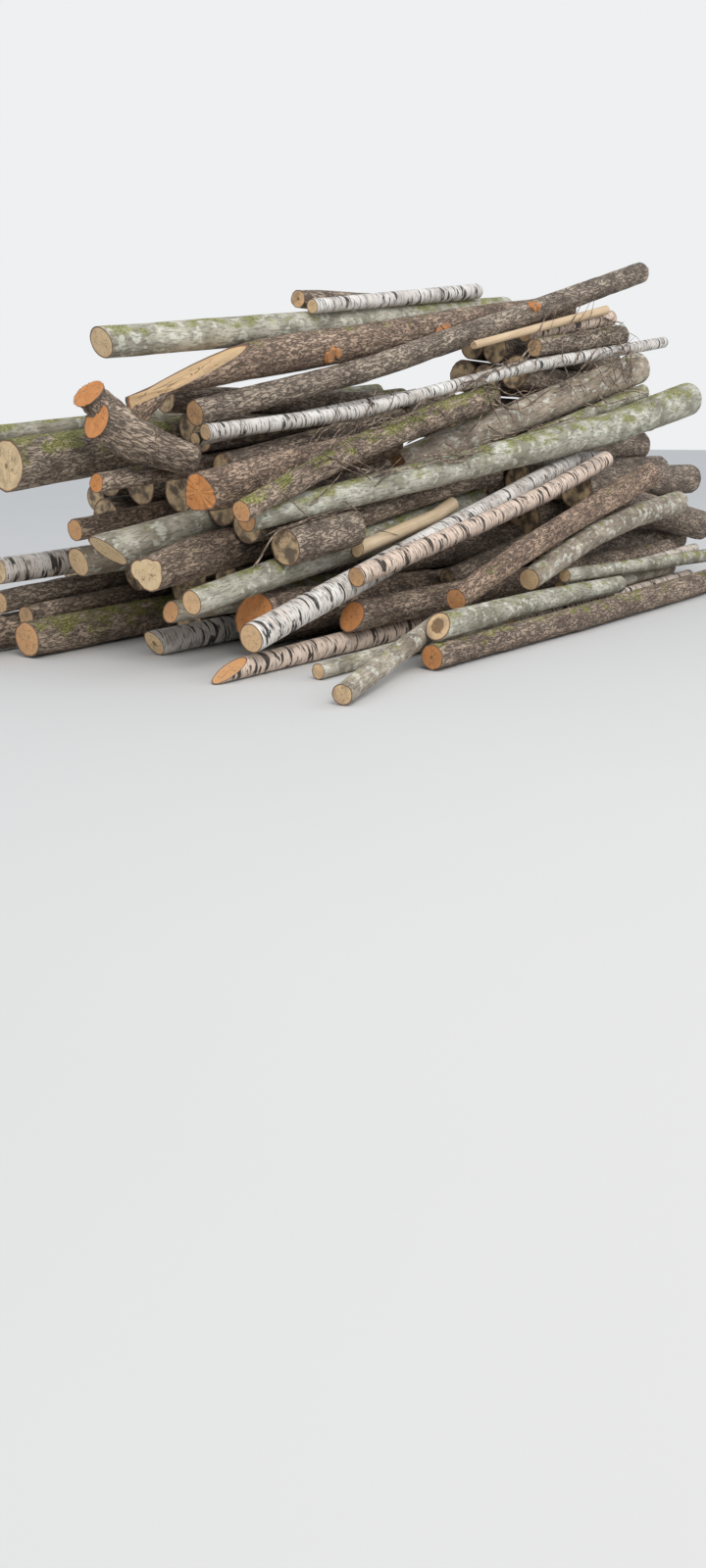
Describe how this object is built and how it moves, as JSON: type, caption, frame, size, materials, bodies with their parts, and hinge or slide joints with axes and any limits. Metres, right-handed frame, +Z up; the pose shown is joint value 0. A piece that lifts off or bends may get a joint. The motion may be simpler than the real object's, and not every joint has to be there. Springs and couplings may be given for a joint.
{
  "type": "stack of logs",
  "caption": "Heap of long unsplit tree stems lying side by side, sawn ends facing one way, with mixed thick and thin logs and one forked butt.",
  "frame": {"origin": "on the ground under the middle of the heap's bounding box", "axes": "+X runs along the logs, away from the sawn ends that are seen from the front; +Y to the left of them; +Z up"},
  "size_m": [7.6342, 3.6134, 2.9545],
  "materials": {
    "birch_bark": "matte",
    "dark_bark": "matte",
    "grey_bark": "matte",
    "mossy_bark": "matte",
    "peeled_wood": "matte"
  },
  "bodies": {
    "root": {"alder_fork_butt": "grey_bark", "alder_round_end": "grey_bark", "beige_log_small": "peeled_wood", "bent_log_white_end": "birch_bark", "birch_behind_long_log": "birch_bark", "birch_big_front": "birch_bark", "birch_left_edge": "birch_bark", "birch_long_thin": "birch_bark", "birch_near_top": "birch_bark", "birch_small_left": "birch_bark", "birch_strip_under_split_log": "birch_bark", "brown_fissured_log_left": "dark_bark", "brown_fissured_log_ridged": "dark_bark", "brown_ground_log_left": "dark_bark", "brown_hollow_log_small": "grey_bark", "dark_fissured_log_long": "dark_bark", "dark_log_left_edge": "dark_bark", "dark_log_top": "dark_bark", "flared_birch_butt": "grey_bark", "green_log_right": "grey_bark", "green_yellow_log": "grey_bark", "grey_birch_thin_right": "birch_bark", "grey_green_log_long": "grey_bark", "grey_green_oblique_log": "grey_bark", "grey_lichen_log_dark_heart": "grey_bark", "grey_log_front_foot": "grey_bark", "grey_log_left_edge": "grey_bark", "grey_mossy_log_far": "mossy_bark", "hidden_back_logs": "grey_bark", "hidden_far_logs_lower": "grey_bark", "hidden_far_logs_middle": "grey_bark", "hidden_far_logs_upper": "grey_bark", "hidden_ground_logs": "grey_bark", "hidden_near_logs_lower": "grey_bark", "hidden_near_logs_middle": "grey_bark", "hidden_near_logs_upper": "grey_bark", "lichen_log_branch_stub": "grey_bark", "lichen_log_upper": "grey_bark", "mossy_crooked_log": "mossy_bark", "mossy_ground_log_left": "mossy_bark", "mossy_ground_log_long": "mossy_bark", "mossy_log_large": "mossy_bark", "oblique_cut_log_small": "grey_bark", "old_log_front_foot": "grey_bark", "old_pink_log": "grey_bark", "old_speckled_birch": "birch_bark", "orange_end_small": "grey_bark", "peeled_pole": "peeled_wood", "pink_birch_ground_thin": "birch_bark", "pink_birch_shard_end": "birch_bark", "reddish_brown_log": "grey_bark", "speckled_birch_thin": "birch_bark", "split_log_long": "peeled_wood", "stump_log_notched": "grey_bark", "tan_birch_far": "birch_bark", "tan_cracked_log": "grey_bark", "tan_log_left": "grey_bark", "triple_stem_butt": "grey_bark", "yellow_grey_log_left_edge": "grey_bark"}
  },
  "joints": []
}
